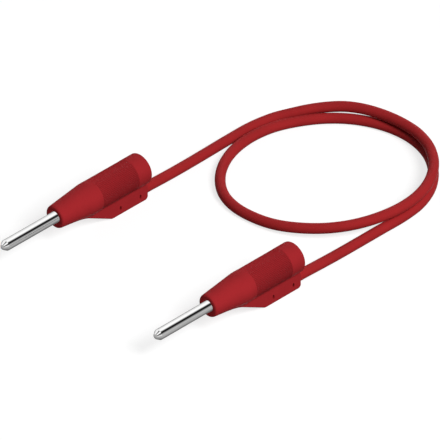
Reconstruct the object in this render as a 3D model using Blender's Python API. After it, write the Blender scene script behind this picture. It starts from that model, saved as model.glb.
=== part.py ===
"""Miniature stackable test lead: two moulded 2 mm plugs joined by one thin flexible cable.

Each plug is a red moulding over a turned contact. The contact is a pin at the front and a socket
at the rear, so that a second lead can be plugged into the first. The cable enters a ridge under
the barrel, parallel to the pin, and its conductor climbs to a solder cup in the contact.

The plugs lie along X with their pins towards -X. They stand on the flat undersides of their
ridges, at z = 0, and the cable lies on the same surface. The origin is the bottom centre of the
two plugs. Lengths are in metres.
"""

import math
from bisect import bisect_right

import bmesh
import bpy
from mathutils import Matrix, Vector

MM = 0.001

# The pin that stands out of the housing
PIN_DIAMETER = 2.0 * MM
PIN_REACH = 13.1 * MM
PIN_CONE_LENGTH = 1.0 * MM
PIN_TIP_DIAMETER = 0.8 * MM
PIN_TIP_ROUND = 0.2 * MM

# The moulded housing, measured from the barrel's rear face towards the pin
HOUSING_LENGTH = 20.4 * MM
BARREL_DIAMETER = 5.76 * MM
BARREL_LENGTH = 13.05 * MM
NOSE_DIAMETER = 4.4 * MM
NOSE_FILLET = 0.3 * MM
REAR_FILLET = 0.25 * MM
NOSE_WALL = 1.2 * MM

# The ribbed grip round the barrel, between a smooth front band and a smooth rear collar
FRONT_BAND = 1.35 * MM
REAR_COLLAR = 3.0 * MM
GRIP_RIBS = 60
RIB_HEIGHT = 0.1 * MM
RIB_TOP_SHARE = 0.4
GRIP_SINK = 0.02 * MM

# The ridge under the barrel that holds the cable, with its walls measured from the cable
CABLE_GAP = 0.81 * MM
RIDGE_SIDE_WALL = 0.45 * MM
RIDGE_FLOOR_WALL = 0.34 * MM
RIDGE_OVERHANG = 0.4 * MM
RIDGE_FLAT_LENGTH = 8.2 * MM
RIDGE_EDGE_BEVEL = 0.12 * MM
RIDGE_HEEL_BEVEL = 0.4 * MM
RAMP_ANGLE = math.radians(27.5)

# The holes left in the ridge by the pins that held the cable in the mould
LOCATOR_DIAMETER = 0.55 * MM
LOCATOR_FRONT = 6.4 * MM
LOCATOR_REAR = 1.7 * MM

# The contact inside the housing. Its socket takes a pin like its own, with some room to spare
SOCKET_CLEARANCE = 0.03 * MM
SOCKET_WALL = 0.47 * MM
SOCKET_SPARE = 0.4 * MM
SOCKET_RECESS = 0.5 * MM
DRILL_POINT_ANGLE = math.radians(118)
COLLAR_STEP = 0.25 * MM
COLLAR_LENGTH = 1.0 * MM
MOUTH_CHAMFER = 0.2 * MM

# The cable, its bared end and the solder joint. The jacket stops short of the ramp's foot
CABLE_DIAMETER = 1.9 * MM
JACKET_SETBACK = 0.3 * MM
CONDUCTOR_DIAMETER = 0.8 * MM
CONDUCTOR_LEAD = 0.2 * MM
CONDUCTOR_BEND_RADIUS = 1.6 * MM
SOLDER_WALL = 0.2 * MM
CUP_DEPTH = 1.5 * MM
CUP_LEAD = 1.6 * MM

# Clearances between the pieces
FIT = 0.05 * MM
CABLE_CLEARANCE = 0.07 * MM

# The lead as a whole
PLUG_SPACING = 36.9 * MM

# How finely round shapes are divided, and how close two points are to be one
ROUND_SIDES = 48
WIRE_SIDES = 16
ARC_STEPS = 3
CURVE_STEPS = 24
SHARP_ANGLE = math.radians(30)
SAME_POINT = 1e-7

# Worked out from the sizes above, in a plug's own frame: the origin is the centre of the
# barrel's rear face, -X is towards the pin and +Z is up
PIN_R = PIN_DIAMETER / 2
BARREL_R = BARREL_DIAMETER / 2
NOSE_R = NOSE_DIAMETER / 2
SOCKET_R = PIN_R + SOCKET_CLEARANCE
CONTACT_R = SOCKET_R + SOCKET_WALL
COLLAR_R = CONTACT_R + COLLAR_STEP
CABLE_R = CABLE_DIAMETER / 2
CONDUCTOR_R = CONDUCTOR_DIAMETER / 2
CUP_R = CONDUCTOR_R + SOLDER_WALL + 2 * FIT
CABLE_DROP = BARREL_R + CABLE_GAP + CABLE_R
RIDGE_DEPTH = CABLE_DROP + CABLE_R + RIDGE_FLOOR_WALL
RIDGE_WIDTH = CABLE_DIAMETER + 2 * RIDGE_SIDE_WALL
NOSE_X = -HOUSING_LENGTH
TIP_X = NOSE_X - PIN_REACH
COLLAR_FRONT_X = NOSE_X + NOSE_WALL
COLLAR_REAR_X = COLLAR_FRONT_X + COLLAR_LENGTH
SOCKET_END_X = -PIN_REACH - SOCKET_SPARE
GRIP_FRONT_X = -BARREL_LENGTH + FRONT_BAND
GRIP_REAR_X = -REAR_COLLAR
JACKET_END_X = -RIDGE_FLAT_LENGTH + JACKET_SETBACK

# The plugs in the lead's own frame
AXIS_HEIGHT = RIDGE_DEPTH
REAR_X = (HOUSING_LENGTH + PIN_REACH - RIDGE_OVERHANG) / 2
CABLE_HEIGHT = AXIS_HEIGHT - CABLE_DROP
PLUG_1_Y = PLUG_SPACING / 2
PLUG_2_Y = -PLUG_SPACING / 2

# The free cable's route from plug 1 to plug 2 in millimetres, chosen by eye. It makes one and
# a half turns: the first turn starts outside the second at the back, climbs on to it on the
# right, crosses over the second plug's lead and comes down again on the left
ROUTE_MM = (
    (19.5, 18.45, 1.26), (23.5, 18.5, 1.1), (28.0, 18.6, 0.99), (33.0, 18.7, 0.97),
    (38.0, 18.8, 0.97), (43.4, 18.75, 0.97), (48.0, 17.9, 1.05), (50.85, 16.5, 1.29),
    (53.45, 14.8, 1.67), (55.8, 12.65, 2.11), (57.7, 10.2, 2.53), (59.0, 7.4, 2.84),
    (59.9, 4.5, 2.98), (60.5, 1.5, 3.0), (60.7, -1.55, 3.0), (60.35, -5.2, 3.0),
    (58.75, -9.4, 3.0), (55.9, -13.15, 3.0), (52.15, -16.0, 3.0), (47.85, -17.75, 3.0),
    (43.1, -18.35, 3.0), (38.35, -17.65, 2.85), (33.95, -15.8, 2.55), (30.15, -12.95, 2.24),
    (27.25, -9.15, 1.84), (25.4, -4.75, 1.35), (24.7, -0.1, 1.02), (24.8, 4.1, 0.97),
    (26.1, 8.0, 0.97), (28.8, 11.5, 0.97), (32.4, 14.2, 0.97), (36.8, 16.0, 0.97),
    (41.5, 16.6, 0.97), (46.25, 16.0, 0.97), (50.7, 14.1, 0.97), (54.6, 11.4, 0.97),
    (57.7, 7.9, 0.97), (59.75, 3.75, 0.97), (60.65, -0.75, 0.97), (60.3, -5.2, 0.97),
    (58.7, -9.4, 0.97), (55.8, -13.2, 0.97), (51.95, -16.15, 0.97), (47.7, -17.85, 0.97),
    (43.1, -18.45, 0.97), (38.0, -18.45, 0.97), (33.0, -18.45, 0.97), (28.0, -18.45, 0.99),
    (23.5, -18.45, 1.1), (19.5, -18.45, 1.26),
)
ROUTE_SPACING = 2.4 * CABLE_DIAMETER


def clear_scene():
    for obj in list(bpy.data.objects):
        bpy.data.objects.remove(obj, do_unlink=True)


def material(name, colour, roughness, metallic=0.0):
    mat = bpy.data.materials.new(name)
    mat.use_nodes = True
    shader = mat.node_tree.nodes["Principled BSDF"]
    shader.inputs["Base Color"].default_value = (*colour, 1.0)
    shader.inputs["Roughness"].default_value = roughness
    shader.inputs["Metallic"].default_value = metallic
    mat.diffuse_color = (*colour, 1.0)
    return mat


def place(name, data, parent, mat=None):
    obj = bpy.data.objects.new(name, data)
    bpy.context.collection.objects.link(obj)
    obj.parent = parent
    if mat is not None:
        data.materials.append(mat)
    return obj


def mesh_from(bm, name):
    bmesh.ops.recalc_face_normals(bm, faces=bm.faces)
    mesh = bpy.data.meshes.new(name)
    bm.to_mesh(mesh)
    bm.free()
    mesh.shade_smooth()
    mesh.set_sharp_from_angle(angle=SHARP_ANGLE)
    return mesh


def arc(centre_x, centre_r, radius, start, end):
    """Points of a fillet in a turned profile, from one angle to another."""
    points = []
    for step in range(ARC_STEPS + 1):
        angle = start + (end - start) * step / ARC_STEPS
        points.append((centre_x + radius * math.cos(angle), centre_r + radius * math.sin(angle)))
    return points


def rounded_end(x, end_r, slope, fillet):
    """The rounded edge between a flat front end at x and the cone that widens behind it."""
    lean = math.atan(slope)
    centre_r = end_r + slope * fillet - fillet / math.cos(lean)
    return arc(x + fillet, centre_r, fillet, math.pi, math.pi / 2 + lean)


def spin_profile(bm, profile, sides=ROUND_SIDES, closed=False):
    """Spin a profile of (x, radius) points round the X axis. A closed one makes a ring."""
    verts = [bm.verts.new((x, 0.0, radius)) for x, radius in profile]
    edges = [bm.edges.new(pair) for pair in zip(verts, verts[1:])]
    if closed:
        edges.append(bm.edges.new((verts[-1], verts[0])))
    bmesh.ops.spin(bm, geom=verts + edges, cent=(0, 0, 0), axis=(1, 0, 0),
                   angle=2 * math.pi, steps=sides, use_merge=True)
    bmesh.ops.remove_doubles(bm, verts=bm.verts, dist=SAME_POINT)


def turned(name, profile, sides=ROUND_SIDES, closed=False):
    bm = bmesh.new()
    spin_profile(bm, profile, sides, closed)
    return mesh_from(bm, name)


def prism(name, outline, half_width, bevel):
    """An outline of (x, z) points extruded from -half_width to +half_width, with bevelled rims."""
    bm = bmesh.new()
    verts = [bm.verts.new((x, -half_width, z)) for x, z in outline]
    face = bm.faces.new(verts)
    extruded = bmesh.ops.extrude_face_region(bm, geom=[face])["geom"]
    moved = [item for item in extruded if isinstance(item, bmesh.types.BMVert)]
    bmesh.ops.translate(bm, verts=moved, vec=(0, 2 * half_width, 0))
    rims = [edge for edge in bm.edges
            if abs(edge.verts[0].co.y - edge.verts[1].co.y) < SAME_POINT]
    bmesh.ops.bevel(bm, geom=rims, offset=bevel, segments=2, profile=0.5, affect="EDGES")
    return mesh_from(bm, name)


def tube(name, path, radius, sides=WIRE_SIDES):
    """A closed round tube along (x, z) points in the plane y = 0."""
    bm = bmesh.new()
    rings = []
    for index, (x, z) in enumerate(path):
        before = path[max(index - 1, 0)]
        after = path[min(index + 1, len(path) - 1)]
        along = Vector((after[0] - before[0], 0.0, after[1] - before[1])).normalized()
        across = along.cross(Vector((0, 1, 0)))
        ring = []
        for side in range(sides):
            angle = 2 * math.pi * side / sides
            offset = across * math.cos(angle) + Vector((0, 1, 0)) * math.sin(angle)
            ring.append(bm.verts.new(Vector((x, 0.0, z)) + offset * radius))
        rings.append(ring)
    for first, second in zip(rings, rings[1:]):
        for side in range(sides):
            follow = (side + 1) % sides
            bm.faces.new((first[side], first[follow], second[follow], second[side]))
    bm.faces.new(rings[0])
    bm.faces.new(list(reversed(rings[-1])))
    return mesh_from(bm, name)


def hidden(tool):
    """A tool object only shapes another one, so the finished model leaves it out."""
    tool.hide_render = True
    tool.display_type = "WIRE"
    return tool


def union(obj, tool):
    modifier = obj.modifiers.new(tool.name, "BOOLEAN")
    modifier.operation = "UNION"
    modifier.solver = "EXACT"
    modifier.object = hidden(tool)


def cut(obj, name, tools):
    """Take all the tool objects away at once."""
    group = bpy.data.collections.new(name)
    for tool in tools:
        group.objects.link(hidden(tool))
    modifier = obj.modifiers.new(name, "BOOLEAN")
    modifier.operation = "DIFFERENCE"
    modifier.solver = "EXACT"
    modifier.operand_type = "COLLECTION"
    modifier.collection = group


def front_profile():
    """The moulding's outside from the centre of its front to where the ribs begin."""
    slope = (BARREL_R - NOSE_R) / (HOUSING_LENGTH - BARREL_LENGTH)
    nose = rounded_end(NOSE_X, NOSE_R, slope, NOSE_FILLET)
    return [(NOSE_X, 0.0), *nose, (-BARREL_LENGTH, BARREL_R), (GRIP_FRONT_X, BARREL_R)]


def rear_profile():
    """The smooth collar behind the ribs, to the centre of the rear face."""
    fillet = arc(-REAR_FILLET, BARREL_R - REAR_FILLET, REAR_FILLET, math.pi / 2, 0.0)
    return [(GRIP_REAR_X, BARREL_R), *fillet, (0.0, 0.0)]


def contact_outline(gap):
    """The contact's outside behind the pin, larger by a gap, from front to rear."""
    return [
        (COLLAR_FRONT_X - gap, PIN_R + gap),
        (COLLAR_FRONT_X - gap, COLLAR_R + gap),
        (COLLAR_REAR_X + gap, COLLAR_R + gap),
        (COLLAR_REAR_X + gap, CONTACT_R + gap),
    ]


def cavity_profile():
    """The room for the contact, run out past the front and the rear of the housing."""
    bore = CONTACT_R + FIT
    mouth = bore + MOUTH_CHAMFER
    past = MOUTH_CHAMFER
    return [
        (NOSE_X - past, 0.0),
        (NOSE_X - past, PIN_R + FIT),
        *contact_outline(FIT),
        (-MOUTH_CHAMFER, bore),
        (0.0, mouth),
        (past, mouth),
        (past, 0.0),
    ]


def contact_profile():
    """The turned contact, from the pin's tip over the outside and down the socket."""
    tip_r = PIN_TIP_DIAMETER / 2
    tip_slope = (PIN_R - tip_r) / PIN_CONE_LENGTH
    rim = (CONTACT_R + SOCKET_R) / 2
    lead_in = rim - SOCKET_R
    drill_point = SOCKET_R / math.tan(DRILL_POINT_ANGLE / 2)
    return [
        (TIP_X, 0.0),
        *rounded_end(TIP_X, tip_r, tip_slope, PIN_TIP_ROUND),
        (TIP_X + PIN_CONE_LENGTH, PIN_R),
        *contact_outline(0.0),
        (-SOCKET_RECESS, CONTACT_R),
        (-SOCKET_RECESS, rim),
        (-SOCKET_RECESS - lead_in, SOCKET_R),
        (SOCKET_END_X, SOCKET_R),
        (SOCKET_END_X - drill_point, 0.0),
    ]


def ridge_outline():
    """Side view of the ridge, closed inside the barrel."""
    top = -(CONTACT_R + BARREL_R) / 2
    front = -RIDGE_FLAT_LENGTH - (RIDGE_DEPTH + top) / math.tan(RAMP_ANGLE)
    heel = RIDGE_HEEL_BEVEL
    boss_top = -BARREL_R + REAR_FILLET
    return [
        (front, top),
        (-RIDGE_FLAT_LENGTH, -RIDGE_DEPTH),
        (RIDGE_OVERHANG - heel, -RIDGE_DEPTH),
        (RIDGE_OVERHANG, -RIDGE_DEPTH + heel),
        (RIDGE_OVERHANG, boss_top - RIDGE_OVERHANG),
        (-REAR_FILLET, boss_top + REAR_FILLET),
        (-REAR_FILLET, top),
    ]


def wire_corner():
    """Where the level wire and the climbing wire would meet if it had no bend, as (x, z)."""
    bend_start = JACKET_END_X - CONDUCTOR_LEAD
    return Vector((bend_start - CONDUCTOR_BEND_RADIUS * math.tan(RAMP_ANGLE / 2), -CABLE_DROP))


def slope_point(distance):
    """A point on the climbing wire, by its distance from the wire's corner."""
    return wire_corner() + Vector((-math.cos(RAMP_ANGLE), math.sin(RAMP_ANGLE))) * distance


def cup_distances():
    """Where the solder cup begins and ends on the climbing wire, from the wire's corner."""
    meets_contact = (CABLE_DROP - CONTACT_R) / math.sin(RAMP_ANGLE)
    return meets_contact - CUP_LEAD, meets_contact + CUP_DEPTH


def wire_path(start_gap, end_gap):
    """The bared end: level out of the jacket, then up along the ramp into the solder cup."""
    bend = CONDUCTOR_BEND_RADIUS
    middle = Vector((JACKET_END_X - CONDUCTOR_LEAD, -CABLE_DROP + bend))
    path = [Vector((JACKET_END_X - start_gap, -CABLE_DROP))]
    for step in range(ARC_STEPS + 1):
        angle = RAMP_ANGLE * step / ARC_STEPS
        path.append(middle - Vector((math.sin(angle), math.cos(angle))) * bend)
    path.append(slope_point(cup_distances()[1] - end_gap))
    return path


def ribbed_ring(bm, x):
    """One section of the grip: fine flat-topped ribs with V-shaped valleys between them."""
    crest = BARREL_R - GRIP_SINK
    half_top = RIB_TOP_SHARE / 2
    corners = ((-half_top, crest), (half_top, crest), (0.5, crest - RIB_HEIGHT))
    ring = []
    for rib in range(GRIP_RIBS):
        for share, radius in corners:
            angle = 2 * math.pi * (rib + share) / GRIP_RIBS
            ring.append(bm.verts.new((x, radius * math.cos(angle), radius * math.sin(angle))))
    return [bm.edges.new(pair) for pair in zip(ring, ring[1:] + ring[:1])]


def barrel_form(name):
    """Nose, ribbed grip and collar as one closed body, with flat steps where the ribs end."""
    bm = bmesh.new()
    spin_profile(bm, front_profile())
    spin_profile(bm, rear_profile())
    front_ribs, rear_ribs = ribbed_ring(bm, GRIP_FRONT_X), ribbed_ring(bm, GRIP_REAR_X)
    for first, second in zip(front_ribs, rear_ribs):
        bm.faces.new((*first.verts, *reversed(second.verts)))
    for x in (GRIP_FRONT_X, GRIP_REAR_X):
        step = [edge for edge in bm.edges
                if edge.is_boundary and all(abs(vert.co.x - x) < SAME_POINT for vert in edge.verts)]
        bmesh.ops.triangle_fill(bm, edges=step, use_beauty=True)
    return mesh_from(bm, name)


def pin_across(name, x, z, radius, half_length):
    """A short round pin along Y."""
    bm = bmesh.new()
    turn = Matrix.Rotation(math.pi / 2, 4, "X")
    bmesh.ops.create_cone(bm, cap_ends=True, segments=WIRE_SIDES, radius1=radius, radius2=radius,
                          depth=2 * half_length, matrix=Matrix.Translation((x, 0, z)) @ turn)
    return mesh_from(bm, name)


def make_housing(plug, parent, mat):
    """The red moulding: nose, ribbed barrel and cable ridge in one piece."""
    housing = place(plug + "_housing", barrel_form(plug + "_housing"), parent, mat)
    name = plug + "_ridge_form"
    ridge = place(name, prism(name, ridge_outline(), RIDGE_WIDTH / 2, RIDGE_EDGE_BEVEL), parent)
    union(housing, ridge)
    cut(housing, plug + "_rooms", [
        contact_room(plug + "_contact_room", parent),
        cable_channel(plug + "_cable_channel", parent),
        wire_channel(plug + "_wire_channel", parent),
        solder_cup(plug + "_cup_in_housing", parent),
        locator_hole(plug + "_locator_front", -LOCATOR_FRONT, parent),
        locator_hole(plug + "_locator_rear", -LOCATOR_REAR, parent),
    ])
    return housing


def contact_room(name, parent):
    return place(name, turned(name, cavity_profile()), parent)


def cable_channel(name, parent):
    ends = [(JACKET_END_X - FIT, -CABLE_DROP), (RIDGE_OVERHANG + CABLE_R, -CABLE_DROP)]
    return place(name, tube(name, ends, CABLE_R + CABLE_CLEARANCE, 2 * WIRE_SIDES), parent)


def wire_channel(name, parent):
    return place(name, tube(name, wire_path(0.0, 0.0), CONDUCTOR_R + FIT), parent)


def locator_hole(name, x, parent):
    """A round hole right across the ridge at the cable's height."""
    return place(name, pin_across(name, x, -CABLE_DROP, LOCATOR_DIAMETER / 2, RIDGE_WIDTH), parent)


def solder_cup(name, parent):
    """The round drilling up the slope that takes the wire and its solder."""
    start, end = (slope_point(distance) for distance in cup_distances())
    return place(name, tube(name, [start, end], CUP_R), parent)


def make_contact(plug, parent, mat):
    """Pin, collar and socket turned from one bar, with the solder cup drilled from below."""
    contact = place(plug + "_contact", turned(plug + "_contact", contact_profile()), parent, mat)
    cut(contact, plug + "_drilling", [solder_cup(plug + "_cup_in_contact", parent)])
    return contact


def make_conductor(plug, parent, mat):
    """The bared strands, between the jacket's end and the bottom of the cup."""
    name = plug + "_conductor"
    return place(name, tube(name, wire_path(FIT, 2 * FIT), CONDUCTOR_R), parent, mat)


def make_solder(plug, parent, mat):
    """The sleeve of solder round the wire, tapered where it wets the strands."""
    start, end = cup_distances()
    inner = CONDUCTOR_R + FIT
    outer = inner + SOLDER_WALL
    length = end - start - 2 * FIT
    taper = 2 * SOLDER_WALL
    thin = inner + SOLDER_WALL / 4
    profile = [(0.0, inner), (0.0, thin), (taper, outer), (length, outer), (length, inner)]
    name = plug + "_solder"
    joint = place(name, turned(name, profile, WIRE_SIDES, closed=True), parent, mat)
    foot = slope_point(start + FIT)
    joint.location = (foot.x, 0.0, foot.y)
    joint.rotation_euler = (0.0, math.pi + RAMP_ANGLE, 0.0)
    return joint


def make_plug(plug, y, mats):
    anchor = bpy.data.objects.new(plug, None)
    bpy.context.collection.objects.link(anchor)
    anchor.location = (REAR_X, y, AXIS_HEIGHT)
    make_housing(plug, anchor, mats["red_plastic"])
    make_contact(plug, anchor, mats["nickel"])
    make_conductor(plug, anchor, mats["tinned_copper"])
    make_solder(plug, anchor, mats["solder"])


def held_end(y):
    """The straight end of the cable inside a ridge, from the jacket's end to the ridge's mouth."""
    jacket_end = REAR_X + JACKET_END_X + FIT
    return [Vector((x, y, CABLE_HEIGHT)) for x in (jacket_end, REAR_X + RIDGE_OVERHANG)]


def smooth_curve(points):
    """Many close points on a cubic curve through the given ones, its ends on the end points."""
    close = []
    for index in range(len(points) - 1):
        first, second = points[index], points[index + 1]
        span = (second - first).length
        leave = tangent(points, index) * span
        arrive = tangent(points, index + 1) * span
        for step in range(CURVE_STEPS):
            close.append(hermite(first, leave, second, arrive, step / CURVE_STEPS))
    return close + [points[-1]]


def tangent(points, index):
    """The curve's direction at a point, parallel to the line between its two neighbours."""
    before = points[max(index - 1, 0)]
    after = points[min(index + 1, len(points) - 1)]
    return (after - before).normalized()


def hermite(first, leave, second, arrive, share):
    """The point at a share of the way along the cubic with these ends and directions."""
    rise = share * share * (3 - 2 * share)
    back = 1 - share
    return (first * (1 - rise) + second * rise
            + leave * share * back * back - arrive * share * share * back)


def evenly_spaced(close, spacing):
    """Points along a line of many short steps, a whole number of equal lengths apart."""
    walked = [0.0]
    for first, second in zip(close, close[1:]):
        walked.append(walked[-1] + (second - first).length)
    count = round(walked[-1] / spacing)
    kept = [close[0]]
    for step in range(1, count):
        target = walked[-1] * step / count
        index = bisect_right(walked, target)
        share = (target - walked[index - 1]) / (walked[index] - walked[index - 1])
        kept.append(close[index - 1].lerp(close[index], share))
    return kept + [close[-1]]


def make_cable(mat):
    """The insulated wire as one plain tube from the end of one jacket to the other."""
    free = [Vector(point) * MM for point in ROUTE_MM]
    route = held_end(PLUG_1_Y) + free + held_end(PLUG_2_Y)[::-1]
    points = evenly_spaced(smooth_curve(route), ROUTE_SPACING)
    curve = bpy.data.curves.new("cable", "CURVE")
    curve.dimensions = "3D"
    curve.bevel_depth = CABLE_R
    curve.bevel_resolution = 2
    curve.use_fill_caps = True
    spline = curve.splines.new("POLY")
    spline.points.add(len(points) - 1)
    for spot, point in zip(spline.points, points):
        spot.co = (*point, 1.0)
    return place("cable", curve, None, mat)


def make_materials():
    return {
        "red_plastic": material("red_plastic", (0.38, 0.018, 0.023), 0.42),
        "red_insulation": material("red_insulation", (0.40, 0.017, 0.021), 0.5),
        "nickel": material("nickel", (0.66, 0.65, 0.62), 0.2, 1.0),
        "tinned_copper": material("tinned_copper", (0.62, 0.6, 0.56), 0.4, 1.0),
        "solder": material("solder", (0.55, 0.56, 0.57), 0.35, 1.0),
    }


def main():
    clear_scene()
    mats = make_materials()
    make_plug("plug_1", PLUG_1_Y, mats)
    make_plug("plug_2", PLUG_2_Y, mats)
    make_cable(mats["red_insulation"])


main()
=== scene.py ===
"""Looks of the test lead: the finish of every surface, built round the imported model.

Lengths are in metres, in the lead's own frame: the plugs lie along X with their pins towards -X,
+Y leads from plug 2 to plug 1, and everything stands on z = 0. Moulding and contact are shaped
in millimetres, in a plug's own frame, whose origin is the centre of the barrel's rear face.
"""

import math

import bmesh
import bpy
import numpy as np
from mathutils import Matrix, Vector


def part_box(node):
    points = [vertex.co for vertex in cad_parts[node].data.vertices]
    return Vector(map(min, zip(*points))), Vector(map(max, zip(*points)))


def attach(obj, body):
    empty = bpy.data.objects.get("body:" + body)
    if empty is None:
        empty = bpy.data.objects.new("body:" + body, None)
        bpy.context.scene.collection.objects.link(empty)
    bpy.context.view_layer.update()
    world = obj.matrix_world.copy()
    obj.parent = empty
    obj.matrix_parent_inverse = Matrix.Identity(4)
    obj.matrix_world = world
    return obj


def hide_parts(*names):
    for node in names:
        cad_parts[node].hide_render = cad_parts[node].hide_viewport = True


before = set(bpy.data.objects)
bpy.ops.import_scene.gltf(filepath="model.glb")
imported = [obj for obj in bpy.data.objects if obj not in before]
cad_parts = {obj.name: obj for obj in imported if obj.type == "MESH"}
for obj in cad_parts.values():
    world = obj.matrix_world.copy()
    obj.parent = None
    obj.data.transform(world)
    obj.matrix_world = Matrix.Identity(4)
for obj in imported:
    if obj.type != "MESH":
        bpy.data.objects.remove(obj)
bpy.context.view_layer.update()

MM = 0.001
BODY = "root"
PLUGS = ("plug_1", "plug_2")

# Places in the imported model, in metres. The ridge stands out behind the barrel by the overhang.
RIDGE_OVERHANG = 0.4 * MM
HOUSING_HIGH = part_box("plug_1_housing")[1]
CONTACT_LOW, CONTACT_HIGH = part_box("plug_1_contact")
REAR_X = HOUSING_HIGH.x - RIDGE_OVERHANG
AXIS_HEIGHT = (CONTACT_LOW.z + CONTACT_HIGH.z) / 2
PLUG_Y = {plug: sum(corner.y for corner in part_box(plug + "_contact")) / 2 for plug in PLUGS}

# The moulding, in millimetres: nose, barrel and ribbed grip
NOSE_X = -20.75
BARREL_R = (HOUSING_HIGH.z - AXIS_HEIGHT) / MM
NOSE_R = 2.09
SHOULDER_X = -13.05
GRIP_FRONT_X = -11.7
GRIP_REAR_X = -3.0
RIBS = 60
RIB_DEPTH = 0.1
RIB_TOP_SHARE = 0.3
RIB_RUN_OUT = 0.12
RIB_SINK = 0.02

# Its ridge, in millimetres
RIDGE_DEPTH = AXIS_HEIGHT / MM
OVERHANG = RIDGE_OVERHANG / MM
RIDGE_HALF_WIDTH = 1.4
RIDGE_TOP = 1.0
FLAT_FRONT_X = -8.2
RAMP_ANGLE = math.radians(27.5)
HEEL_BEVEL = 0.4

# The domed front, the edges and inner corners, and the raised line of the mould, in millimetres
DOME_DEPTH = 0.45
DOME_WIDTH = 0.3
REAR_ROUNDING = 0.25
EDGE_ROUNDING = 0.14
ROOT_FILLET = 0.12
FRONT_FILLET = 0.5
SEAM_HEIGHT = 0.012
SEAM_WIDTH = 0.05

# How wide a blend between two surfaces is, in radii of the rounding that it makes
ROUND_BLEND = 1.17

# The room for the contact, as (x, radius) from the foot of the countersink to the rear mouth
RECESS_R = 1.3
RECESS_DEPTH = 0.25
PIN_HOLE_R = 1.02
COLLAR_ROOM_R = 1.8
SOCKET_HOLE_R = 1.55
MOUTH_R = 1.75
ROOM = (
    (NOSE_X + RECESS_DEPTH, PIN_HOLE_R), (-19.25, PIN_HOLE_R), (-19.25, COLLAR_ROOM_R),
    (-18.15, COLLAR_ROOM_R), (-18.15, SOCKET_HOLE_R), (-0.2, SOCKET_HOLE_R),
)

# The cable, its room, and the holes that the mould's two locating pins leave, in millimetres
CABLE_DIAMETER = 1.9
CABLE_DROP = 4.64
CABLE_CLEARANCE = 0.02
JACKET_END_X = -7.95
LOCATOR_X = (-6.24, -1.45)
LOCATOR_HALF_WIDTH = 0.23
LOCATOR_HALF_HEIGHT = 0.45
LOCATOR_REACH = 1.6

# The bared wire's room, which climbs from its corner to the solder cup, in millimetres. The
# cup starts and ends at these distances from that corner.
WIRE_CORNER_X = -8.49
WIRE_ROOM_R = 0.5
CUP_R = 0.7
CUP_START = 5.2
CUP_END = 8.3

# How far a tool that cuts a room runs past its mouth, or into the next room, in millimetres
MOUTH_REACH = 1.0
ROOM_OVERLAP = 0.5
CORNER_OVERLAP = 0.1

# The contact in millimetres, from the pin's tip to the bottom of its socket, as corners with
# (x, radius, rounding)
CONTACT_PROFILE = (
    (-33.22, 0.0, 0.0), (-33.22, 0.45, 0.16), (-32.4, 1.0, 0.16), (-19.2, 1.0, 0.03),
    (-19.2, 1.75, 0.05), (-18.2, 1.75, 0.05), (-18.2, 1.5, 0.03), (-0.5, 1.5, 0.05),
    (-0.5, 1.265, 0.04), (-0.735, 1.03, 0.04), (-13.5, 1.03, 0.02), (-14.119, 0.0, 0.0),
)
CORNER_STEPS = 6
CONTACT_SIDES = 96
WELD_DISTANCE = 1e-8
SHARP_ANGLE = math.radians(35)

# The rings of rays that find the moulding's skin, as stretches of (from, to, rings): in degrees
# from the axis where they fan out at both ends, and in millimetres along it between
FRONT_CENTRE_X = NOSE_X + 1.4
REAR_CENTRE_X = -6.0
RECESS_ANGLE = math.degrees(math.atan2(RECESS_R, FRONT_CENTRE_X - NOSE_X))
MOUTH_ANGLE = math.degrees(math.atan2(MOUTH_R, -REAR_CENTRE_X))
FRONT_RINGS = ((RECESS_ANGLE, 51, 4), (51, 68, 22), (68, 90, 6))
MIDDLE_RINGS = (
    (FRONT_CENTRE_X, -15.6, 4), (-15.6, -12.9, 14), (-12.9, -11.8, 4), (-11.8, -11.5, 8),
    (-11.5, -8.6, 9), (-8.6, -7.8, 8), (-7.8, REAR_CENTRE_X, 2),
)
REAR_RINGS = ((90, 47, 5), (47, 39.5, 21), (39.5, 27, 7), (27, 23, 16), (23, MOUTH_ANGLE, 3))
RAY_LENGTH = 9.5
BISECTIONS = 26

# The rays of one ring, by their angle from straight down, in degrees: over the ridge's foot, from
# there to its sides' tops, and in shares of a rib's pitch over the rest of the barrel
FOOT_SPAN = 12.0
FOOT_STEP = 2.0
RIDGE_SPAN = 30.0
RIDGE_STEP = 0.5
RIB_STATIONS = (0.0, 0.15, 0.3, 0.5, 0.7, 0.85)

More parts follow.
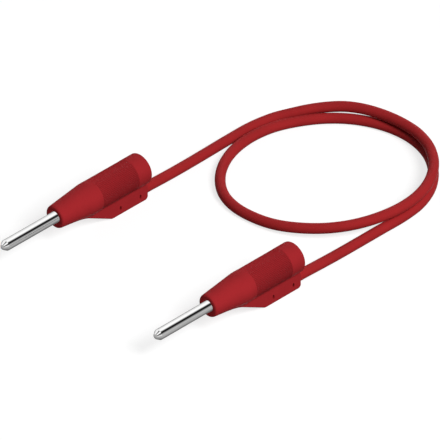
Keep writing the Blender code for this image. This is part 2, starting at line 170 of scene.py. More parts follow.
# The route of the cable's free part from plug 1 to plug 2, in metres
ROUTE = (
    (0.0195, 0.01845, 0.00126), (0.0235, 0.0185, 0.0011), (0.028, 0.0186, 0.00099),
    (0.033, 0.0187, 0.00097), (0.038, 0.0188, 0.00097), (0.0434, 0.01875, 0.00097),
    (0.048, 0.0179, 0.00105), (0.05085, 0.0165, 0.00129), (0.05345, 0.0148, 0.00167),
    (0.0558, 0.01265, 0.00211), (0.0577, 0.0102, 0.00253), (0.059, 0.0074, 0.00284),
    (0.0599, 0.0045, 0.00298), (0.0605, 0.0015, 0.003), (0.0607, -0.00155, 0.003),
    (0.06035, -0.0052, 0.003), (0.05875, -0.0094, 0.003), (0.0559, -0.01315, 0.003),
    (0.05215, -0.016, 0.003), (0.04785, -0.01775, 0.003), (0.0431, -0.01835, 0.003),
    (0.03835, -0.01765, 0.00285), (0.03395, -0.0158, 0.00255), (0.03015, -0.01295, 0.00224),
    (0.02725, -0.00915, 0.00184), (0.0254, -0.00475, 0.00135), (0.0247, -0.0001, 0.00102),
    (0.0248, 0.0041, 0.00097), (0.0261, 0.008, 0.00097), (0.0288, 0.0115, 0.00097),
    (0.0324, 0.0142, 0.00097), (0.0368, 0.016, 0.00097), (0.0415, 0.0166, 0.00097),
    (0.04625, 0.016, 0.00097), (0.0507, 0.0141, 0.00097), (0.0546, 0.0114, 0.00097),
    (0.0577, 0.0079, 0.00097), (0.05975, 0.00375, 0.00097), (0.06065, -0.00075, 0.00097),
    (0.0603, -0.0052, 0.00097), (0.0587, -0.0094, 0.00097), (0.0558, -0.0132, 0.00097),
    (0.05195, -0.01615, 0.00097), (0.0477, -0.01785, 0.00097), (0.0431, -0.01845, 0.00097),
    (0.038, -0.01845, 0.00097), (0.033, -0.01845, 0.00097), (0.028, -0.01845, 0.00099),
    (0.0235, -0.01845, 0.0011), (0.0195, -0.01845, 0.00126),
)
CABLE_SPACING = 0.9 * MM
CURVE_STEPS = 24

# The photograph's view: true isometric, with its centre on this point, and this width across.
# Lens and sensor are in millimetres, and what the camera clips is in shares of its distance.
VIEW_BACK = Vector((-1, -1, 1)).normalized()
VIEW_CENTRE = Vector((0.02251, 0.00523, -0.00133))
VIEW_WIDTH = 75.24 * MM
LENS = 1600.0
SENSOR = 36.0
CLIP_SHARES = (0.1, 3.0)

# The red parts. Each shade is painted shade, the share by which the colour is darker: over the grip
# from its front to its rear, in its grooves, and on the barrel's underside outside the grip and in
# it. The underside's painted shade fades in between two heights, and all end at the barrel's edge.
RED_PLASTIC = (0.37, 0.0215, 0.026)
PLASTIC_GLOSS = 0.005
GRIP_PAINTED_SHADE = (0.1, 0.19)
GROOVE_PAINTED_SHADE = 0.12
UNDERSIDE_PAINTED_SHADE = (0.13, 0.43)
UNDERSIDE_HEIGHTS = (-0.4 * BARREL_R, 0.75 * BARREL_R)
BARREL_EDGE = (BARREL_R + 0.02, BARREL_R + 0.1)
RED_INSULATION = (0.366, 0.021, 0.023)
INSULATION_GLOSS = 0.01

# The metals. Painted shade darkens the nickel below the axis, and fades in between two heights.
NICKEL = (0.39, 0.389, 0.388)
NICKEL_RIM = (0.4, 0.4, 0.4)
PIN_PAINTED_SHADE = 0.5
PIN_SHADE_HEIGHTS = (-0.3, 0.1)
TIN = (0.56, 0.56, 0.56)

# The studio: a lamp's level is the brightness that it gives white paper, lengths are in metres,
# and the panels' levels are (degrees from +Y over the top, brightness)
LEAD_CENTRE = Vector((0.022, 0.0, 0.004))
KEY_FROM = Vector((-0.06, -0.69, 0.71)).normalized()
KEY_LEVEL = 0.92
FILL_FROM = Vector((0.72, 0.68, 0.1)).normalized()
FILL_LEVEL = 0.5
LAMP_DISTANCE = 1.2
LAMP_SIZE = 0.5
AMBIENT = 0.12
FLOOR_HALF_SIZE = 2.0
FLOOR_BOUNCE = (0.32, 0.32, 0.32)
FLOOR_SHADED = (0.34, 0.34, 0.34)
FLOOR_GLOW = 0.76
PANEL_RADIUS = 0.5
PANEL_FRONT_X = -0.5
PANEL_STRENGTH = 2.66
PANEL_STEP = 5
PANEL_LEVELS = ((0, 0.8), (25, 0.8), (38, 0.8), (49, 0.9), (75, 1.0), (88, 1.0), (100, 0.68),
                (107, 0.28), (112, 0.06), (118, 0.01), (143, 0.01), (149, 0.16), (157, 0.32),
                (166, 0.42), (180, 0.55))
TIP_LEVELS = ((0, 0.8), (62, 0.9), (70, 0.1), (88, 0.1), (96, 1.0), (118, 1.0), (130, 0.05),
              (152, 0.05), (160, 0.7), (180, 0.8))


def larger(a, b, rounding):
    """The larger of two distances, which rounds the outer edge between their surfaces."""
    width = ROUND_BLEND * rounding
    share = np.clip(0.5 + 0.5 * (a - b) / width, 0.0, 1.0)
    return b + (a - b) * share + width * share * (1.0 - share)


def smaller(a, b, fillet):
    """The smaller of two distances, which fills the inner corner between their surfaces."""
    return -larger(-a, -b, fillet)


def smooth_step(value, low, high):
    """A number that runs smoothly from 0 to 1 as the value runs from low to high."""
    share = np.clip((value - low) / (high - low), 0.0, 1.0)
    return share * share * (3.0 - 2.0 * share)


def rib_valley(x, angle):
    """How deep the grip's grooves are below the barrel, with rounded run-outs at their ends."""
    along = smooth_step(x, GRIP_FRONT_X, GRIP_FRONT_X + RIB_RUN_OUT)
    along = along * (1.0 - smooth_step(x, GRIP_REAR_X - RIB_RUN_OUT, GRIP_REAR_X))
    pitch = np.abs((angle * RIBS / (2.0 * math.pi) + 0.5) % 1.0 - 0.5)
    across = smooth_step(pitch, RIB_TOP_SHARE / 2.0, 0.5)
    return along * (RIB_SINK + (RIB_DEPTH - RIB_SINK) * across)


def dome_draw(x):
    """How far the domed front draws the cone in, as a quarter of an ellipse."""
    share = np.clip((NOSE_X + DOME_DEPTH - x) / DOME_DEPTH, 0.0, 1.0)
    return DOME_WIDTH * (1.0 - np.sqrt(1.0 - share * share))


def barrel_distance(x, y, z):
    """Cone, barrel and ribs, with the faint raised line where the mould parts along the top."""
    radius = np.hypot(y, z)
    angle = np.arctan2(y, z)
    slope = (BARREL_R - NOSE_R) / (SHOULDER_X - NOSE_X)
    cone = NOSE_R + slope * (x - NOSE_X)
    outer = np.minimum(cone, BARREL_R) - rib_valley(x, angle) - dome_draw(x)
    outer = outer + SEAM_HEIGHT * np.exp(-(np.abs(angle) * radius / SEAM_WIDTH) ** 2)
    side = larger(radius - outer, x, REAR_ROUNDING)
    return larger(side, NOSE_X - x, EDGE_ROUNDING)


def ridge_distance(x, y, z):
    """The ridge that holds the cable: foot, ramp, heel and the sloped top of its rear end."""
    below = -z - RIDGE_DEPTH
    ramp = below * math.cos(RAMP_ANGLE) + (FLAT_FRONT_X - x) * math.sin(RAMP_ANGLE)
    heel = (x - OVERHANG + below + HEEL_BEVEL) / math.sqrt(2.0)
    slope = (z + BARREL_R - REAR_ROUNDING + x) / math.sqrt(2.0)
    under = larger(larger(below, ramp, EDGE_ROUNDING), heel, EDGE_ROUNDING)
    rear = larger(x - OVERHANG, slope, EDGE_ROUNDING)
    block = larger(larger(under, rear, EDGE_ROUNDING), z + RIDGE_TOP, EDGE_ROUNDING)
    return larger(block, np.abs(y) - RIDGE_HALF_WIDTH, EDGE_ROUNDING)


def moulding_distance(points):
    """About how far each point lies outside the moulding. It is negative inside.

    The inner corner between ridge and barrel is filled more in front of the grip.
    """
    x, y, z = points[..., 0], points[..., 1], points[..., 2]
    front = 1.0 - smooth_step(x, SHOULDER_X, GRIP_FRONT_X)
    fillet = ROOT_FILLET + (FRONT_FILLET - ROOT_FILLET) * front
    return smaller(barrel_distance(x, y, z), ridge_distance(x, y, z), fillet)


def fan(start, sign, stretches):
    """Rings of rays that fan out from one point on the axis, as (start, axial, radial)."""
    rings = []
    for first, last, count in stretches:
        for degrees in np.linspace(first, last, count, endpoint=False):
            angle = math.radians(degrees)
            rings.append((start, sign * math.cos(angle), math.sin(angle)))
    return rings


def ray_rings():
    """Every ring of rays, from the countersink's edge over the outside to the rear bore's mouth.

    The rays at the front and the rear fan out, and those between are square to the axis. They lie
    closer together where the shape bends.
    """
    middle = []
    for start, end, count in MIDDLE_RINGS:
        middle += [(x, 0.0, 1.0) for x in np.linspace(start, end, count, endpoint=False)]
    last = (REAR_CENTRE_X, -REAR_CENTRE_X, MOUTH_R)
    front, rear = fan(FRONT_CENTRE_X, -1, FRONT_RINGS), fan(REAR_CENTRE_X, 1, REAR_RINGS)
    return front + middle + rear + [last]


def ray_angles():
    """The rays' angles round the axis from straight down, close together at the ridge's edges."""
    foot, side = np.arange(0.0, FOOT_SPAN, FOOT_STEP), np.arange(FOOT_SPAN, RIDGE_SPAN, RIDGE_STEP)
    half = [*foot, *side]
    for rib in range(round(RIDGE_SPAN * RIBS / 360.0), RIBS // 2):
        half += [(rib + share) * 360.0 / RIBS for share in RIB_STATIONS]
    return np.radians(np.array(half + [180.0] + [360.0 - angle for angle in half[:0:-1]]))


def moulding_rings():
    """The moulding's closed skin as rings of points: outside, then back through its room."""
    angles = ray_angles()
    starts, directions = [], []
    for start, axial, radial in ray_rings():
        starts.append(start)
        directions.append([(axial, radial * math.sin(a), -radial * math.cos(a)) for a in angles])
    directions = np.array(directions)
    directions /= np.linalg.norm(directions, axis=2, keepdims=True)
    origins = np.zeros_like(directions)
    origins[..., 0] = np.array(starts)[:, None]
    near, far = np.zeros(directions.shape[:2]), np.full(directions.shape[:2], RAY_LENGTH)
    for _ in range(BISECTIONS):
        middle = (near + far) / 2
        outside = moulding_distance(origins + directions * middle[..., None]) > 0
        far = np.where(outside, middle, far)
        near = np.where(outside, near, middle)
    skin = origins + directions * ((near + far) / 2)[..., None]
    inside = [[(x, r * math.sin(a), -r * math.cos(a)) for a in angles] for x, r in ROOM]
    return np.concatenate([skin, np.array(inside)[::-1]])


def closed_faces(ring_count, side_count):
    """Quads between neighbouring rings of a skin that closes both ways."""
    ring, side = np.meshgrid(np.arange(ring_count), np.arange(side_count), indexing="ij")
    next_ring, next_side = (ring + 1) % ring_count, (side + 1) % side_count
    corners = ((ring, side), (ring, next_side), (next_ring, next_side), (next_ring, side))
    return np.stack([a * side_count + b for a, b in corners], axis=-1).reshape(-1, 4)


def new_object(name, data, mat=None):
    """An object in the scene, with a material on its data if one is given."""
    obj = bpy.data.objects.new(name, data)
    bpy.context.collection.objects.link(obj)
    if mat is not None:
        data.materials.append(mat)
    return obj


def smooth(mesh):
    """Smooth shading that keeps the sharp edges."""
    mesh.shade_smooth()
    mesh.set_sharp_from_angle(angle=SHARP_ANGLE)


def moulding_mesh():
    """The moulding's skin as a closed mesh, without the rooms for wire and cable."""
    rings = moulding_rings() * MM
    mesh = bpy.data.meshes.new("moulding")
    faces = closed_faces(*rings.shape[:2])
    mesh.from_pydata(rings.reshape(-1, 3), [], faces.tolist())
    bm = bmesh.new()
    bm.from_mesh(mesh)
    bmesh.ops.recalc_face_normals(bm, faces=bm.faces)
    bm.to_mesh(mesh)
    bm.free()
    return mesh


def rod(name, start, end, radius, sides=48):
    """A round tool between two points, in millimetres, in a plug's frame."""
    start, end = Vector(start) * MM, Vector(end) * MM
    along = end - start
    turn = along.to_track_quat("Z", "Y").to_matrix().to_4x4()
    place = Matrix.Translation((start + end) / 2) @ turn
    bm = bmesh.new()
    bmesh.ops.create_cone(bm, cap_ends=True, segments=sides, radius1=radius * MM,
                          radius2=radius * MM, depth=along.length, matrix=place)
    mesh = bpy.data.meshes.new(name)
    bm.to_mesh(mesh)
    bm.free()
    return new_object(name, mesh)


def locator_slot(x):
    """An upright oval rod right across the ridge, at the cable's height."""
    slot = rod("locator", (0, -LOCATOR_REACH, 0), (0, LOCATOR_REACH, 0), radius=1.0, sides=32)
    for vert in slot.data.vertices:
        vert.co.x = vert.co.x * LOCATOR_HALF_WIDTH + x * MM
        vert.co.z = vert.co.z * LOCATOR_HALF_HEIGHT - CABLE_DROP * MM
    return slot


def slope_point(distance):
    """A point on the climbing wire in the ridge, by its distance from the wire's corner."""
    return (WIRE_CORNER_X - distance * math.cos(RAMP_ANGLE), 0.0,
            distance * math.sin(RAMP_ANGLE) - CABLE_DROP)


def cut(obj, tools):
    """Subtracts the tools from a piece for good, and deletes them."""
    group = bpy.data.collections.new(obj.name + "_tools")
    for tool in tools:
        group.objects.link(tool)
    step = obj.modifiers.new("rooms", "BOOLEAN")
    step.operation = "DIFFERENCE"
    step.solver = "EXACT"
    step.operand_type = "COLLECTION"
    step.collection = group
    mesh = bpy.data.meshes.new_from_object(obj.evaluated_get(bpy.context.evaluated_depsgraph_get()))
    obj.modifiers.clear()
    obj.data = mesh
    for tool in tools:
        bpy.data.objects.remove(tool)
    bpy.data.collections.remove(group)


def make_housings(mat):
    """The moulding, cut once and used for both plugs."""
    first = new_object(PLUGS[0] + "_moulding", moulding_mesh(), mat)
    tools = [
        rod("cable_room", (JACKET_END_X, 0, -CABLE_DROP),
            (OVERHANG + MOUTH_REACH, 0, -CABLE_DROP), CABLE_DIAMETER / 2 + CABLE_CLEARANCE,
            sides=64),
        rod("wire_room", (JACKET_END_X + ROOM_OVERLAP, 0, -CABLE_DROP),
            (WIRE_CORNER_X, 0, -CABLE_DROP), WIRE_ROOM_R),
        rod("wire_slope", slope_point(-CORNER_OVERLAP), slope_point(CUP_END), WIRE_ROOM_R),
        rod("cup_room", slope_point(CUP_START), slope_point(CUP_END), CUP_R),
    ]
    for x in LOCATOR_X:
        tools.append(locator_slot(x))
    cut(first, tools)
    smooth(first.data)
    second = new_object(PLUGS[1] + "_moulding", first.data.copy())
    return [first, second]


def softened(profile):
    """An outline with every corner rounded off by the cut that it names, as (x, radius)."""
    points = [Vector(profile[0][:2])]
    for before, corner, after in zip(profile, profile[1:], profile[2:]):
        middle = Vector(corner[:2])
        back, ahead = Vector(before[:2]) - middle, Vector(after[:2]) - middle
        start = middle + back.normalized() * min(corner[2], back.length / 2)
        end = middle + ahead.normalized() * min(corner[2], ahead.length / 2)
        for share in np.linspace(0.0, 1.0, CORNER_STEPS):
            points.append(start.lerp(middle, share).lerp(middle.lerp(end, share), share))
    return points + [Vector(profile[-1][:2])]


def turned_mesh(name, profile, sides):
    """A closed mesh turned round the X axis from an outline of (x, radius) in millimetres."""
    bm = bmesh.new()
    verts = [bm.verts.new((point.x * MM, 0.0, point.y * MM)) for point in profile]
    edges = [bm.edges.new(pair) for pair in zip(verts, verts[1:])]
    bmesh.ops.spin(bm, geom=verts + edges, cent=(0, 0, 0), axis=(1, 0, 0), angle=2 * math.pi,
                   steps=sides, use_merge=True, use_duplicate=False)
    bmesh.ops.remove_doubles(bm, verts=bm.verts, dist=WELD_DISTANCE)
    bmesh.ops.recalc_face_normals(bm, faces=bm.faces)
    mesh = bpy.data.meshes.new(name)
    bm.to_mesh(mesh)
    bm.free()
    return mesh


def make_contacts(mat):
    """Pin, collar and socket as one turned piece, with its solder cup, for both plugs."""
    mesh = turned_mesh("contact", softened(CONTACT_PROFILE), CONTACT_SIDES)
    first = new_object(PLUGS[0] + "_turned_contact", mesh, mat)
    cut(first, [rod("cup", slope_point(CUP_START), slope_point(CUP_END), CUP_R)])
    smooth(first.data)
    second = new_object(PLUGS[1] + "_turned_contact", first.data.copy())
    return [first, second]


def held_end(y):
    """The straight end of the cable inside a ridge, from the jacket's end to the ridge's mouth."""
    jacket_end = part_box("cable")[0].x
    height = AXIS_HEIGHT - CABLE_DROP * MM
    return [Vector((x, y, height)) for x in (jacket_end, HOUSING_HIGH.x)]


def tangent(points, index):
    """The curve's direction at a point, parallel to the line between its two neighbours."""
    before = points[max(index - 1, 0)]
    after = points[min(index + 1, len(points) - 1)]
    return (after - before).normalized()


def hermite(first, leave, second, arrive, share):
    """The point at a share of the way along the cubic with these ends and directions."""
    rise = share * share * (3 - 2 * share)
    back = 1 - share
    return (first * (1 - rise) + second * rise
            + leave * share * back * back - arrive * share * share * back)


def smooth_curve(points):
    """Many close points on a cubic curve through the given ones, its ends on the end points."""
    close = []
    for index in range(len(points) - 1):
        first, second = points[index], points[index + 1]
        span = (second - first).length
        leave, arrive = tangent(points, index) * span, tangent(points, index + 1) * span
        for step in range(CURVE_STEPS):
            close.append(hermite(first, leave, second, arrive, step / CURVE_STEPS))
    return close + [points[-1]]


def evenly_spaced(close, spacing):
    """Points along a line of many short steps, a whole number of equal lengths apart."""
    corners = np.array(close)
    walked = np.concatenate([[0.0], np.cumsum(np.linalg.norm(np.diff(corners, axis=0), axis=1))])
    targets = np.linspace(0.0, walked[-1], round(walked[-1] / spacing) + 1)
    return np.stack([np.interp(targets, walked, corners[:, axis]) for axis in range(3)], axis=1)


def make_cable(mat):
    """The insulated wire from ridge to ridge, as a round curve along its route."""
    free = [Vector(point) for point in ROUTE]
    route = held_end(PLUG_Y["plug_1"]) + free + held_end(PLUG_Y["plug_2"])[::-1]
    points = evenly_spaced(smooth_curve(route), CABLE_SPACING)
    curve = bpy.data.curves.new("insulated_wire", "CURVE")
    curve.dimensions = "3D"
    curve.bevel_depth = CABLE_DIAMETER / 2 * MM
    curve.bevel_resolution = 8
    curve.use_fill_caps = True
    spline = curve.splines.new("POLY")
    spline.points.add(len(points) - 1)
    for spot, point in zip(spline.points, points):
        spot.co = (*point, 1.0)
    spline.use_smooth = True
    return new_object("insulated_wire", curve, mat)


def make_camera():
    """The photograph's camera, so far away behind a long lens that its view is nearly parallel."""
    data = bpy.data.cameras.new("camera")
    data.sensor_width = SENSOR
    data.lens = LENS
    distance = VIEW_WIDTH * LENS / SENSOR
    data.clip_start, data.clip_end = (distance * share for share in CLIP_SHARES)
    camera = new_object("camera", data)
    camera.location = VIEW_CENTRE + VIEW_BACK * distance
    camera.rotation_euler = (-VIEW_BACK).to_track_quat("-Z", "Y").to_euler()
    bpy.context.scene.camera = camera


class Nodes:
    """Short calls for building one node tree."""

    def __init__(self, tree):
        self.tree = tree
        tree.nodes.clear()

    def add(self, kind, settings=(), **inputs):
        """A new node with its settings, and with a link or a value in each named input."""
        node = self.tree.nodes.new("ShaderNode" + kind)
        for key, value in dict(settings).items():
            setattr(node, key, value)
        for key, value in inputs.items():
            socket = node.inputs[key.replace("_", " ")]
            if isinstance(value, bpy.types.NodeSocket):
                self.tree.links.new(value, socket)
            else:
                socket.default_value = value
        return node

    def join(self, value, socket):
        self.tree.links.new(value, socket)

    def maths(self, operation, first, second=0.0):
        """The result of an operation on two numbers, each a socket or a plain value."""
        node = self.add("Math", {"operation": operation})
        for value, socket in zip((first, second), node.inputs):
            if isinstance(value, bpy.types.NodeSocket):
                self.join(value, socket)
            else:
                socket.default_value = value
        return node.outputs[0]

    def place(self, scale=(1.0, 1.0, 1.0)):
        """The piece's own coordinates in millimetres, times a scale for each axis."""
        coordinates = self.add("TexCoord").outputs["Object"]
        mapping = self.add("Mapping", Vector=coordinates)
        mapping.inputs["Scale"].default_value = [number / MM for number in scale]
        return mapping.outputs[0]

    def noise(self, where, scale, detail=2.0, roughness=0.5):
        node = self.add("TexNoise", Vector=where, Scale=scale, Detail=detail, Roughness=roughness)
        return node.outputs[0]

    def between(self, value, low, high, from_low=0.3, from_high=0.7):
        """A number that runs from low to high as the value runs from from_low to from_high."""
        node = self.add("MapRange", Value=value, From_Min=from_low, From_Max=from_high,
                        To_Min=low, To_Max=high)
        return node.outputs[0]

    def shades(self, value, stops):
        """A colour from a ramp of (place, colour) stops."""
        ramp = self.add("ValToRGB", Fac=value)
        elements = ramp.color_ramp.elements
        while len(elements) < len(stops):
            elements.new(0.5)
        for element, (place, colour) in zip(elements, stops):
            element.position = place
            element.color = (*colour, 1.0)
        return ramp.outputs[0]

    def bump(self, height, distance, strength=1.0, normal=None):
        """A bump of a height in metres, over another one if it is given."""
        node = self.add("Bump", Height=height, Distance=distance, Strength=strength)
        if normal is not None:
            self.join(normal, node.inputs["Normal"])
        return node.outputs[0]


def new_material(name):
    """A material, and the calls that build its nodes."""
    mat = bpy.data.materials.new(name)
    mat.use_nodes = True
    return mat, Nodes(mat.node_tree)


def surface(nodes, shader):
    """Ends a material's nodes in this shader."""
    nodes.add("OutputMaterial", Surface=shader)


def tint(colour, factor):
    return tuple(channel * factor for channel in colour)


def mottled(nodes, value, colour, low, high, span=(0.3, 0.7)):
    """A colour times a factor that runs from low to high as the value runs over the span."""
    return nodes.shades(value, ((span[0], tint(colour, low)), (span[1], tint(colour, high))))


def darkened(nodes, colour, share):
    """A colour made darker by a share, from 0 to 1."""
    tone = nodes.between(share, 1.0, 0.0, 0.0, 1.0)
    return nodes.add("VectorMath", {"operation": "SCALE"}, Vector=colour, Scale=tone).outputs[0]


def grip_masks(nodes, where):
    """Masks of the grip, its grooves and the barrel's underside, and the way along the grip."""
    x, y, z = nodes.add("SeparateXYZ", Vector=where).outputs
    squares = nodes.maths("ADD", nodes.maths("MULTIPLY", y, y), nodes.maths("MULTIPLY", z, z))
    radius = nodes.maths("SQRT", squares)
    front = nodes.between(x, 0.0, 1.0, GRIP_FRONT_X, GRIP_FRONT_X + RIB_RUN_OUT)
    rear = nodes.between(x, 1.0, 0.0, GRIP_REAR_X - RIB_RUN_OUT, GRIP_REAR_X)
    barrel = nodes.between(radius, 1.0, 0.0, *BARREL_EDGE)
    grip = nodes.maths("MULTIPLY", nodes.maths("MULTIPLY", front, rear), barrel)
    depth = nodes.between(radius, 1.0, 0.0, BARREL_R - RIB_DEPTH, BARREL_R - RIB_SINK)
    low = nodes.between(z, 1.0, 0.0, *UNDERSIDE_HEIGHTS)
    low = nodes.maths("MULTIPLY", low, nodes.between(x, 0.0, 1.0, SHOULDER_X, GRIP_FRONT_X))
    along = nodes.between(x, 0.0, 1.0, GRIP_FRONT_X, GRIP_REAR_X)
    return grip, nodes.maths("MULTIPLY", depth, grip), nodes.maths("MULTIPLY", low, barrel), along


def red_plastic():
    """Moulded plastic: a fine eroded texture, faint flow marks and slightly uneven colour.

    The grip, its grooves and the barrel's underside are darker, by painted shade.
    """
    mat, nodes = new_material("red_moulding")
    where = nodes.place()
    cloud = nodes.noise(where, 0.35, detail=3.0)
    colour = mottled(nodes, cloud, RED_PLASTIC, 0.975, 1.025)
    grip, groove, low, along = grip_masks(nodes, where)
    # Painted shade: the grip grows darker from its front to its rear.
    grip_painted_shade = nodes.maths("MULTIPLY", grip, nodes.between(along, *GRIP_PAINTED_SHADE, 0.0, 1.0))
    colour = darkened(nodes, colour, grip_painted_shade)
    # Painted shade in the grip's grooves.
    colour = darkened(nodes, colour, nodes.maths("MULTIPLY", groove, GROOVE_PAINTED_SHADE))
    # Painted shade on the barrel's underside, stronger on the grip.
    underside = nodes.maths("MULTIPLY", low, nodes.between(grip, *UNDERSIDE_PAINTED_SHADE, 0.0, 1.0))
    colour = darkened(nodes, colour, underside)
    grain = nodes.noise(where, 9.0, detail=3.0, roughness=0.6)
    flow = nodes.noise(nodes.place((0.3, 1.6, 1.6)), 1.0, detail=3.0)
    rough = nodes.maths("ADD", nodes.between(grain, 0.42, 0.52), nodes.between(flow, -0.03, 0.03))
    normal = nodes.bump(flow, 0.03 * MM, 0.5)
    normal = nodes.bump(grain, 0.02 * MM, 0.35, normal)
    shader = nodes.add("BsdfPrincipled", Base_Color=colour, Roughness=rough, Normal=normal)
    shader.inputs["Specular IOR Level"].default_value = PLASTIC_GLOSS
    surface(nodes, shader.outputs[0])
    return mat


def red_insulation():
    """Soft insulation: satin, with the shallow unevenness of an extruded skin and fine dust."""
    mat, nodes = new_material("red_insulation")
    where = nodes.place()
    cloud = nodes.noise(where, 0.25, detail=3.0)
    colour = mottled(nodes, cloud, RED_INSULATION, 0.95, 1.05)
    skin = nodes.noise(where, 1.3)
    grain = nodes.noise(where, 14.0, detail=3.0, roughness=0.6)
    rough = nodes.maths("ADD", nodes.between(grain, 0.38, 0.48), nodes.between(skin, -0.04, 0.04))
    normal = nodes.bump(skin, 0.04 * MM, 0.35)
    normal = nodes.bump(grain, 0.01 * MM, 0.35, normal)
    shader = nodes.add("BsdfPrincipled", Base_Color=colour, Roughness=rough, Normal=normal)
    shader.inputs["Specular IOR Level"].default_value = INSULATION_GLOSS
    surface(nodes, shader.outputs[0])
    return mat


def nickel():
    """Bright nickel over turned brass: rings from the tool and rubbed lines along the pin.

    It is darker below the axis, by painted shade.
    """
    mat, nodes = new_material("nickel_plating")
    rings = nodes.noise(nodes.place((14.0, 0.15, 0.15)), 1.0)
    rubbed = nodes.noise(nodes.place((0.12, 5.0, 5.0)), 1.0, detail=3.0, roughness=0.6)
    cloud = nodes.noise(nodes.place(), 0.6)
    worn = nodes.between(rubbed, 0.0, 1.0, 0.58, 0.75)
    colour = mottled(nodes, cloud, NICKEL, 0.96, 1.03)
    height = nodes.add("SeparateXYZ", Vector=nodes.place()).outputs[2]
    # Painted shade: the nickel grows darker below the axis.
    colour = darkened(nodes, colour, nodes.between(height, PIN_PAINTED_SHADE, 0.0, *PIN_SHADE_HEIGHTS))
    rough = nodes.maths("ADD", nodes.between(cloud, 0.06, 0.1), nodes.maths("MULTIPLY", worn, 0.04))
    normal = nodes.bump(rings, 0.003 * MM, 0.2)
    normal = nodes.bump(rubbed, 0.003 * MM, 0.25, normal)
    shader = nodes.add("BsdfPrincipled", Base_Color=colour, Roughness=rough, Normal=normal,
                       Metallic=1.0)
    shader.inputs["Specular Tint"].default_value = (*NICKEL_RIM, 1.0)
    surface(nodes, shader.outputs[0])
    return mat


def tinned_strands():
    """Bare tinned strands, twisted round the wire's axis."""
    mat, nodes = new_material("tinned_strands")
    lay = nodes.add("TexWave", {"wave_type": "BANDS", "bands_direction": "DIAGONAL"},
                    Vector=nodes.place((1.0, 2.0, 2.0)), Scale=1.4, Distortion=0.4)
    colour = mottled(nodes, lay.outputs[1], TIN, 0.6, 1.0, span=(0.1, 0.8))
    shader = nodes.add("BsdfPrincipled", Base_Color=colour, Metallic=1.0,
                       Roughness=nodes.between(nodes.noise(nodes.place(), 6.0), 0.3, 0.45),
                       Normal=nodes.bump(lay.outputs[1], 0.04 * MM, 0.8))
    surface(nodes, shader.outputs[0])
    return mat


def solder():
    """Tin solder: bright, with soft frozen ripples and a few dull patches."""
    mat, nodes = new_material("tin_solder")
    ripples = nodes.noise(nodes.place(), 2.5, detail=3.0)
    dull = nodes.noise(nodes.place(), 1.2)
    colour = mottled(nodes, dull, TIN, 0.8, 1.0, span=(0.35, 0.65))
    shader = nodes.add("BsdfPrincipled", Base_Color=colour, Metallic=1.0,
                       Roughness=nodes.between(dull, 0.2, 0.45),
                       Normal=nodes.bump(ripples, 0.05 * MM, 0.6))
    surface(nodes, shader.outputs[0])
    return mat


def seen_rays(nodes):
    """1 for rays from the camera, from gloss and through glass, and 0 for the rest."""
    path = nodes.add("LightPath")
    seen = nodes.maths("ADD", path.outputs["Is Camera Ray"], path.outputs["Is Glossy Ray"])
    seen = nodes.maths("ADD", seen, path.outputs["Is Transmission Ray"])
    return nodes.maths("MINIMUM", seen, 1.0)


def floor_material():
    """White where it is seen, and darker where the lead shades it, but pale to diffuse light."""
    mat, nodes = new_material("floor")
    bounce = nodes.add("BsdfDiffuse", Color=(*FLOOR_BOUNCE, 1.0))
    shaded = nodes.add("BsdfDiffuse", Color=(*FLOOR_SHADED, 1.0))
    glow = nodes.add("Emission", Color=(1.0, 1.0, 1.0, 1.0), Strength=FLOOR_GLOW)
    pale = nodes.add("AddShader")
    nodes.join(shaded.outputs[0], pale.inputs[0])
    nodes.join(glow.outputs[0], pale.inputs[1])
    both = nodes.add("MixShader", Fac=seen_rays(nodes))
    nodes.join(bounce.outputs[0], both.inputs[1])
    nodes.join(pale.outputs[0], both.inputs[2])
    surface(nodes, both.outputs[0])
    return mat


def make_floor():
    """A plain pale floor that the lead stands on."""
    mat = floor_material()
    bm = bmesh.new()
    bmesh.ops.create_grid(bm, x_segments=1, y_segments=1, size=FLOOR_HALF_SIZE)
    mesh = bpy.data.meshes.new("floor")
    bm.to_mesh(mesh)
    bm.free()
    new_object("floor", mesh, mat)


def make_world():
    """White surroundings where they are seen, which light the lead only a little."""
    world = bpy.data.worlds.new("studio")
    bpy.context.scene.world = world
    world.use_nodes = True
    nodes = Nodes(world.node_tree)
    strength = nodes.between(seen_rays(nodes), AMBIENT, 1.0, 0.0, 1.0)
    air = nodes.add("Background", Color=(1.0, 1.0, 1.0, 1.0), Strength=strength)
    nodes.add("OutputWorld", Surface=air.outputs[0])


def make_lamp(name, direction, level):
    """A large soft lamp, which reflections don't show: they show the panels instead."""
    data = bpy.data.lights.new(name, "AREA")
    data.shape = "DISK"
    data.size = LAMP_SIZE
    data.energy = level * (math.pi * LAMP_DISTANCE) ** 2
    lamp = new_object(name, data)
    lamp.location = LEAD_CENTRE + direction * LAMP_DISTANCE
    lamp.rotation_euler = (-direction).to_track_quat("-Z", "Y").to_euler()
    lamp.visible_camera = False
    lamp.visible_glossy = False


def panel_material(name, levels):
    """A glow with a level for each angle round the X axis, from +Y over the top to -Y."""
    mat, nodes = new_material(name)
    split = nodes.add("SeparateXYZ", Vector=nodes.add("TexCoord").outputs["Object"])
    turn = nodes.maths("ARCTAN2", split.outputs[2], split.outputs[1])
    stops = [(degrees / 180.0, (level,) * 3) for degrees, level in levels]
    level = nodes.shades(nodes.maths("DIVIDE", turn, math.pi), stops)
    glow = nodes.add("Emission", Color=level, Strength=PANEL_STRENGTH)
    surface(nodes, glow.outputs[0])
    return mat


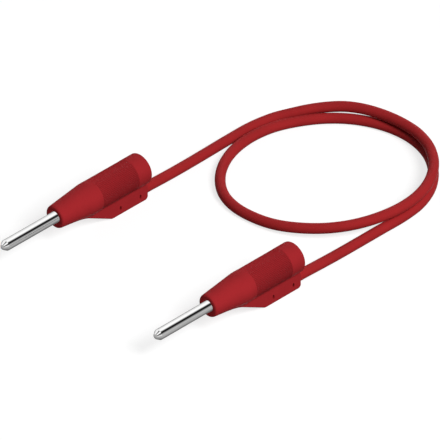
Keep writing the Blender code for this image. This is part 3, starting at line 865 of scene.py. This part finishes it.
def make_panel(name, start, end, levels):
    """A panel arched over the lead, which only reflections show: it gives the metal its bands."""
    mat = panel_material(name, levels)
    bm = bmesh.new()
    lines = []
    for degrees in range(0, 181, PANEL_STEP):
        angle = math.radians(degrees)
        y, z = PANEL_RADIUS * math.cos(angle), PANEL_RADIUS * math.sin(angle)
        lines.append([bm.verts.new((x, y, z)) for x in (start, end)])
    for first, second in zip(lines, lines[1:]):
        bm.faces.new((first[0], first[1], second[1], second[0]))
    mesh = bpy.data.meshes.new(name)
    bm.to_mesh(mesh)
    bm.free()
    panel = new_object(name, mesh, mat)
    for rays in ("camera", "diffuse", "transmission", "shadow", "volume_scatter"):
        setattr(panel, "visible_" + rays, False)


def finish_piece(piece, node):
    """Ties a piece to its body, and hides the CAD node that it stands for."""
    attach(piece, BODY)
    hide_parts(node)


def add_cable():
    """The cable, as a cord that leaves plug 1 and goes back into plug 2."""
    wire = make_cable(red_insulation())
    finish_piece(wire, "cable")


def add_plugs():
    """Both plugs. Their housings stay out of the metal's reflections, as the photo shows it."""
    housings = make_housings(red_plastic())
    contacts = make_contacts(nickel())
    strands, tin = tinned_strands(), solder()
    for plug, housing, contact in zip(PLUGS, housings, contacts):
        for piece in (housing, contact):
            piece.location = (REAR_X, PLUG_Y[plug], AXIS_HEIGHT)
        housing.visible_glossy = False
        finish_piece(housing, plug + "_housing")
        finish_piece(contact, plug + "_contact")
        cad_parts[plug + "_conductor"].data.materials[0] = strands
        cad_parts[plug + "_solder"].data.materials[0] = tin


def add_studio():
    """Floor and surroundings, two soft lamps, and the panels that the metal reflects."""
    make_floor()
    make_world()
    make_lamp("key", KEY_FROM, KEY_LEVEL)
    make_lamp("fill", FILL_FROM, FILL_LEVEL)
    make_panel("gradient_panel", 0.0, 2 * PANEL_RADIUS, PANEL_LEVELS)
    make_panel("tip_panel", PANEL_FRONT_X, 0.0, TIP_LEVELS)


def main():
    """Builds the scene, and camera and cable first."""
    make_camera()
    add_cable()
    add_plugs()
    add_studio()
    bpy.context.scene.view_settings.view_transform = "Standard"
    bpy.context.view_layer.update()


main()
